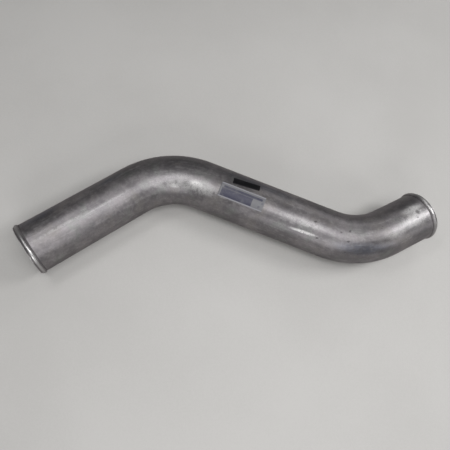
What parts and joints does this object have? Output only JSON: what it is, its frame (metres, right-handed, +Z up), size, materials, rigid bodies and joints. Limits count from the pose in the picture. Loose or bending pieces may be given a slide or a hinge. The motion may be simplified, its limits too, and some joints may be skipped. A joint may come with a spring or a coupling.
{
  "type": "turbo outlet pipe",
  "caption": "Round steel charge-air pipe, bent left and right in one plane, open at both ends, each with a rolled hose bead; two blank stickers on the middle run.",
  "frame": {"origin": "centre of the inlet mouth, on the axis of the long first run", "axes": "+X along the first run into the pipe, +Z up off the surface it lies on, the bends lie in the XY plane and the pipe first turns towards -Y"},
  "size_m": [0.7241, 0.4826, 0.107],
  "materials": {
    "aluminised_steel": "satin, mottled",
    "pale_film": "matt film",
    "dark_film": "satin film"
  },
  "bodies": {
    "root": {"pipe": "aluminised_steel", "pale_sticker": "pale_film", "dark_sticker": "dark_film"}
  },
  "joints": []
}
